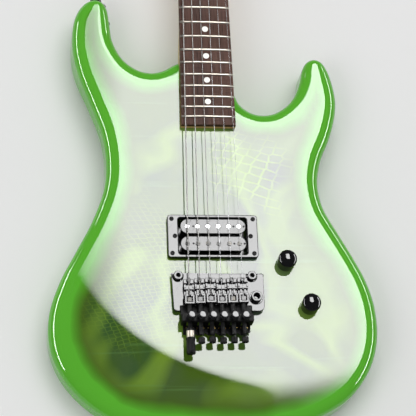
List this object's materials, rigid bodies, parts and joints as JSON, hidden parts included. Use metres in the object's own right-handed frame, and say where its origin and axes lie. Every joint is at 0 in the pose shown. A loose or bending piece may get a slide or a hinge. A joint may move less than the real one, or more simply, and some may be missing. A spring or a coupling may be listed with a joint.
{
  "type": "electric guitar",
  "caption": "Double-cutaway solid electric guitar with a floating double-locking tremolo, one humbucking pickup, two knobs and a row of tuners on a pointed head.",
  "frame": {"origin": "on the resting plane of the rear covers, straight below the middle of the bridge end of the string length", "axes": "+Z out of the guitar's face, +Y up the neck to the head, +X to the treble side; it lies on its back"},
  "size_m": [0.33, 1.0077, 0.073],
  "materials": {
    "body_lacquer": "gloss",
    "maple": "satin",
    "rosewood": "satin",
    "black_metal": "gloss",
    "gloss_plastic": "gloss",
    "cover_plastic": "satin",
    "string_steel": "bright"
  },
  "bodies": {
    "guitar": {"body": "body_lacquer", "neck": "maple", "fretboard": "rosewood", "locking_nut": "black_metal", "pickup_ring": "gloss_plastic", "pickup": "gloss_plastic", "spring_cover": "cover_plastic", "control_cover": "cover_plastic", "neck_plate": "black_metal", "strap_button_horn": "black_metal", "strap_button_tail": "black_metal", "output_jack": "black_metal", "spring_claw": "string_steel", "pivot_stud_bass": "black_metal", "pivot_stud_treble": "black_metal", "volume_pot": "string_steel", "tone_pot": "string_steel", "string_1": "string_steel", "string_2": "string_steel", "string_3": "string_steel", "string_4": "string_steel", "string_5": "string_steel", "string_6": "string_steel", "tuner_housing_1": "black_metal", "tuner_housing_2": "black_metal", "tuner_housing_3": "black_metal", "tuner_housing_4": "black_metal", "tuner_housing_5": "black_metal", "tuner_housing_6": "black_metal", "tremolo_spring_1": "string_steel", "tremolo_spring_2": "string_steel"},
    "tremolo": {"tremolo_plate": "black_metal", "sustain_block": "black_metal"},
    "saddle_1": {"saddle_1": "black_metal"},
    "fine_tuner_1": {"fine_tuner_1": "black_metal"},
    "saddle_2": {"saddle_2": "black_metal"},
    "fine_tuner_2": {"fine_tuner_2": "black_metal"},
    "saddle_3": {"saddle_3": "black_metal"},
    "fine_tuner_3": {"fine_tuner_3": "black_metal"},
    "saddle_4": {"saddle_4": "black_metal"},
    "fine_tuner_4": {"fine_tuner_4": "black_metal"},
    "saddle_5": {"saddle_5": "black_metal"},
    "fine_tuner_5": {"fine_tuner_5": "black_metal"},
    "saddle_6": {"saddle_6": "black_metal"},
    "fine_tuner_6": {"fine_tuner_6": "black_metal"},
    "drop_tuner": {"drop_tuner": "black_metal"},
    "tuner_key_1": {"tuner_key_1": "black_metal"},
    "tuner_post_1": {"tuner_post_1": "black_metal"},
    "tuner_key_2": {"tuner_key_2": "black_metal"},
    "tuner_post_2": {"tuner_post_2": "black_metal"},
    "tuner_key_3": {"tuner_key_3": "black_metal"},
    "tuner_post_3": {"tuner_post_3": "black_metal"},
    "tuner_key_4": {"tuner_key_4": "black_metal"},
    "tuner_post_4": {"tuner_post_4": "black_metal"},
    "tuner_key_5": {"tuner_key_5": "black_metal"},
    "tuner_post_5": {"tuner_post_5": "black_metal"},
    "tuner_key_6": {"tuner_key_6": "black_metal"},
    "tuner_post_6": {"tuner_post_6": "black_metal"},
    "volume_knob": {"volume_knob": "gloss_plastic"},
    "tone_knob": {"tone_knob": "gloss_plastic"}
  },
  "joints": [
    {"name": "tremolo_tilt", "type": "hinge", "parent": "guitar", "child": "tremolo", "pos_m": [0, 0.01, 0.053], "axis": [-1, 0, 0], "range_deg": [-3.5, 12], "stiffness_Nm_per_rad": 12, "deforming": ["string_1", "string_2", "string_3", "string_4", "string_5", "string_6", "tremolo_spring_1", "tremolo_spring_2"]},
    {"name": "fine_tuner_1_turn", "type": "hinge", "parent": "tremolo", "child": "fine_tuner_1", "pos_m": [-0.027, -0.0355, 0.066], "axis": [0, 0, -1], "range_deg": [0, 684]},
    {"name": "saddle_1_tilt", "type": "hinge", "parent": "tremolo", "child": "saddle_1", "pos_m": [-0.027, -0.0006, 0.0538], "axis": [1, 0, 0], "range_deg": [0, 2.4]},
    {"name": "fine_tuner_2_turn", "type": "hinge", "parent": "tremolo", "child": "fine_tuner_2", "pos_m": [-0.0162, -0.0355, 0.066], "axis": [0, 0, -1], "range_deg": [0, 684]},
    {"name": "saddle_2_tilt", "type": "hinge", "parent": "tremolo", "child": "saddle_2", "pos_m": [-0.0162, 0.0001, 0.0538], "axis": [1, 0, 0], "range_deg": [0, 2.4]},
    {"name": "fine_tuner_3_turn", "type": "hinge", "parent": "tremolo", "child": "fine_tuner_3", "pos_m": [-0.0054, -0.0355, 0.066], "axis": [0, 0, -1], "range_deg": [0, 684]},
    {"name": "saddle_3_tilt", "type": "hinge", "parent": "tremolo", "child": "saddle_3", "pos_m": [-0.0054, 0.0008, 0.0538], "axis": [1, 0, 0], "range_deg": [0, 2.4]},
    {"name": "fine_tuner_4_turn", "type": "hinge", "parent": "tremolo", "child": "fine_tuner_4", "pos_m": [0.0054, -0.0355, 0.066], "axis": [0, 0, -1], "range_deg": [0, 684]},
    {"name": "saddle_4_tilt", "type": "hinge", "parent": "tremolo", "child": "saddle_4", "pos_m": [0.0054, 0.0001, 0.0538], "axis": [1, 0, 0], "range_deg": [0, 2.4]},
    {"name": "fine_tuner_5_turn", "type": "hinge", "parent": "tremolo", "child": "fine_tuner_5", "pos_m": [0.0162, -0.0355, 0.066], "axis": [0, 0, -1], "range_deg": [0, 684]},
    {"name": "saddle_5_tilt", "type": "hinge", "parent": "tremolo", "child": "saddle_5", "pos_m": [0.0162, 0.0007, 0.0538], "axis": [1, 0, 0], "range_deg": [0, 2.4]},
    {"name": "fine_tuner_6_turn", "type": "hinge", "parent": "tremolo", "child": "fine_tuner_6", "pos_m": [0.027, -0.0355, 0.066], "axis": [0, 0, -1], "range_deg": [0, 684]},
    {"name": "saddle_6_tilt", "type": "hinge", "parent": "tremolo", "child": "saddle_6", "pos_m": [0.027, 0.001, 0.0538], "axis": [1, 0, 0], "range_deg": [0, 2.4]},
    {"name": "drop_tuner_pull", "type": "slide", "parent": "saddle_1", "child": "drop_tuner", "axis": [0, -1, 0], "range_m": [0, 0.0055]},
    {"name": "tuner_key_1_turn", "type": "hinge", "parent": "guitar", "child": "tuner_key_1", "pos_m": [-0.01921, 0.70385, 0.0238], "axis": [-0.9603, 0.2791, 0], "continuous": true},
    {"name": "tuner_post_1_turn", "type": "hinge", "parent": "guitar", "child": "tuner_post_1", "pos_m": [-0.021, 0.6977, 0.029], "axis": [0, 0, 1], "continuous": true},
    {"name": "tuner_key_2_turn", "type": "hinge", "parent": "guitar", "child": "tuner_key_2", "pos_m": [-0.01209, 0.72835, 0.0238], "axis": [-0.9603, 0.2791, 0], "continuous": true},
    {"name": "tuner_post_2_turn", "type": "hinge", "parent": "guitar", "child": "tuner_post_2", "pos_m": [-0.01388, 0.7222, 0.029], "axis": [0, 0, 1], "continuous": true},
    {"name": "tuner_key_3_turn", "type": "hinge", "parent": "guitar", "child": "tuner_key_3", "pos_m": [-0.00497, 0.75285, 0.0238], "axis": [-0.9603, 0.2791, 0], "continuous": true},
    {"name": "tuner_post_3_turn", "type": "hinge", "parent": "guitar", "child": "tuner_post_3", "pos_m": [-0.00676, 0.7467, 0.029], "axis": [0, 0, 1], "continuous": true},
    {"name": "tuner_key_4_turn", "type": "hinge", "parent": "guitar", "child": "tuner_key_4", "pos_m": [0.00215, 0.77735, 0.0238], "axis": [-0.9603, 0.2791, 0], "continuous": true},
    {"name": "tuner_post_4_turn", "type": "hinge", "parent": "guitar", "child": "tuner_post_4", "pos_m": [0.00036, 0.7712, 0.029], "axis": [0, 0, 1], "continuous": true},
    {"name": "tuner_key_5_turn", "type": "hinge", "parent": "guitar", "child": "tuner_key_5", "pos_m": [0.00927, 0.80185, 0.0238], "axis": [-0.9603, 0.2791, 0], "continuous": true},
    {"name": "tuner_post_5_turn", "type": "hinge", "parent": "guitar", "child": "tuner_post_5", "pos_m": [0.00748, 0.7957, 0.029], "axis": [0, 0, 1], "continuous": true},
    {"name": "tuner_key_6_turn", "type": "hinge", "parent": "guitar", "child": "tuner_key_6", "pos_m": [0.01639, 0.82635, 0.0238], "axis": [-0.9603, 0.2791, 0], "continuous": true},
    {"name": "tuner_post_6_turn", "type": "hinge", "parent": "guitar", "child": "tuner_post_6", "pos_m": [0.0146, 0.8202, 0.029], "axis": [0, 0, 1], "continuous": true},
    {"name": "volume_knob_turn", "type": "hinge", "parent": "guitar", "child": "volume_knob", "pos_m": [0.0736, 0.0268, 0.046], "axis": [0, 0, 1], "range_deg": [0, 280]},
    {"name": "tone_knob_turn", "type": "hinge", "parent": "guitar", "child": "tone_knob", "pos_m": [0.0954, -0.0187, 0.046], "axis": [0, 0, 1], "range_deg": [0, 280]}
  ],
  "couplings": [
    {"joint": "fine_tuner_1_turn", "follows": "saddle_1_tilt", "ratio": 285},
    {"joint": "fine_tuner_2_turn", "follows": "saddle_2_tilt", "ratio": 285},
    {"joint": "fine_tuner_3_turn", "follows": "saddle_3_tilt", "ratio": 285},
    {"joint": "fine_tuner_4_turn", "follows": "saddle_4_tilt", "ratio": 285},
    {"joint": "fine_tuner_5_turn", "follows": "saddle_5_tilt", "ratio": 285},
    {"joint": "fine_tuner_6_turn", "follows": "saddle_6_tilt", "ratio": 285},
    {"joint": "tuner_post_1_turn", "follows": "tuner_key_1_turn", "ratio": 0.071429},
    {"joint": "tuner_post_2_turn", "follows": "tuner_key_2_turn", "ratio": 0.071429},
    {"joint": "tuner_post_3_turn", "follows": "tuner_key_3_turn", "ratio": 0.071429},
    {"joint": "tuner_post_4_turn", "follows": "tuner_key_4_turn", "ratio": 0.071429},
    {"joint": "tuner_post_5_turn", "follows": "tuner_key_5_turn", "ratio": 0.071429},
    {"joint": "tuner_post_6_turn", "follows": "tuner_key_6_turn", "ratio": 0.071429}
  ]
}
